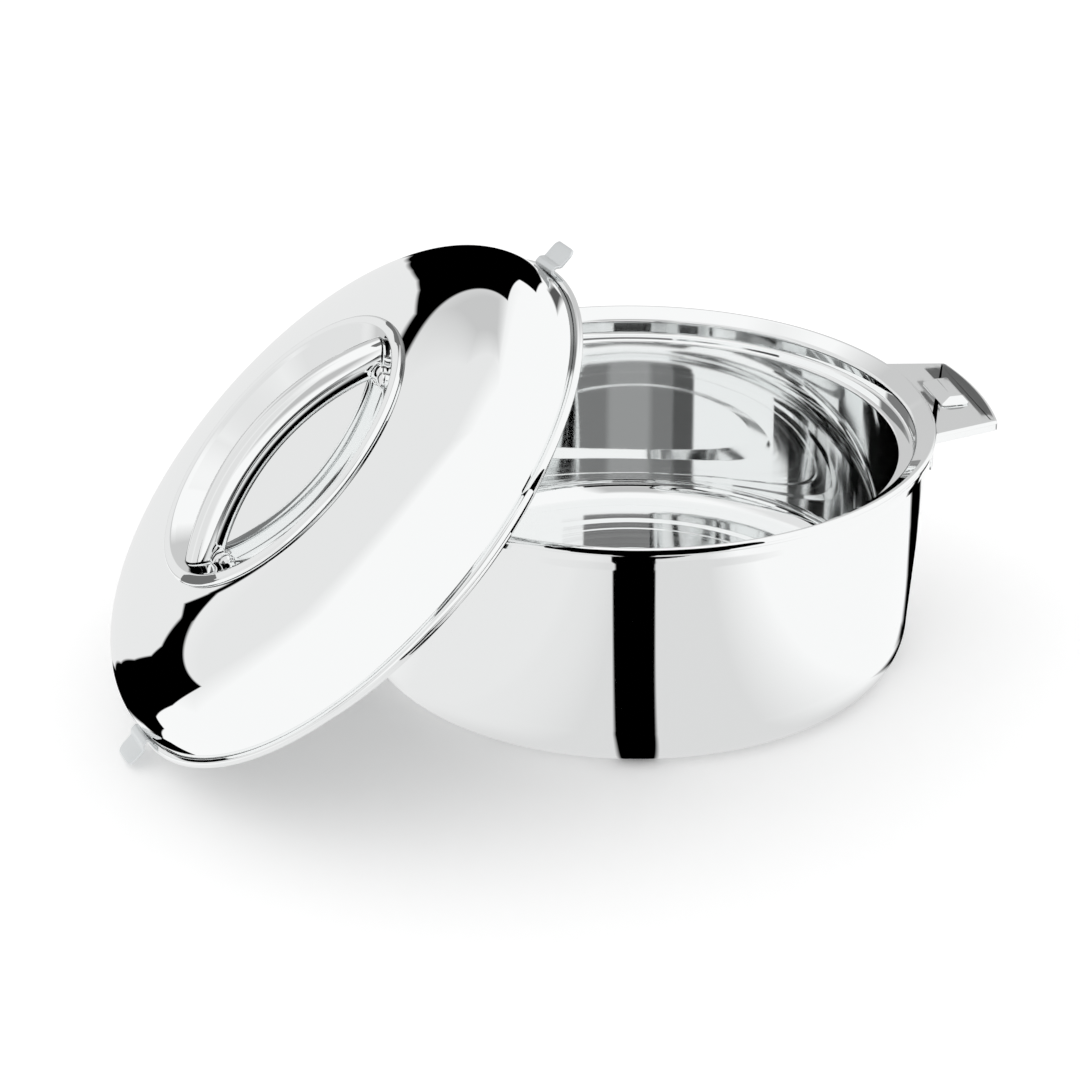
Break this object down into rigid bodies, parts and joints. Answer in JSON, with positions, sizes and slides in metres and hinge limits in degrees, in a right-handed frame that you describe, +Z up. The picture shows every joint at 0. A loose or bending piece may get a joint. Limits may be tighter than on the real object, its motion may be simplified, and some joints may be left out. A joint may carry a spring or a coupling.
{
  "type": "insulated chapati casserole",
  "caption": "Double-walled steel serving bowl with side handles, and its insulated domed lid with a sunk grab bar, leaning against it.",
  "frame": {"origin": "centre of the bowl's flat base, on the table", "axes": "+Z up, the bowl's axis; the two handles lie along X; the lid leans on the handle at -X with its dome facing -X and up"},
  "size_m": [0.3642, 0.2714, 0.1816],
  "materials": {
    "polished_steel": "mirror-polished stainless steel",
    "satin_steel": "bright stainless strip, slightly satin",
    "foam": "rigid polyurethane foam",
    "grey_plastic": "moulded plug, matt"
  },
  "bodies": {
    "bowl": {"outer_shell": "polished_steel", "inner_pot": "polished_steel", "bowl_foam": "foam", "base_plug": "grey_plastic", "handle_right": "polished_steel", "handle_left": "polished_steel", "catch_right": "polished_steel", "catch_left": "polished_steel"},
    "lid": {"lid_dome": "polished_steel", "lid_dish": "polished_steel", "lid_liner": "polished_steel", "lid_plug": "grey_plastic", "lid_foam": "foam", "grab_bar": "polished_steel", "ear_low": "satin_steel", "ear_high": "satin_steel"}
  },
  "joints": [
    {"name": "lid_lift", "type": "slide", "parent": "bowl", "child": "lid", "axis": [0, 0, 1], "range_m": [0, 0.2]}
  ]
}
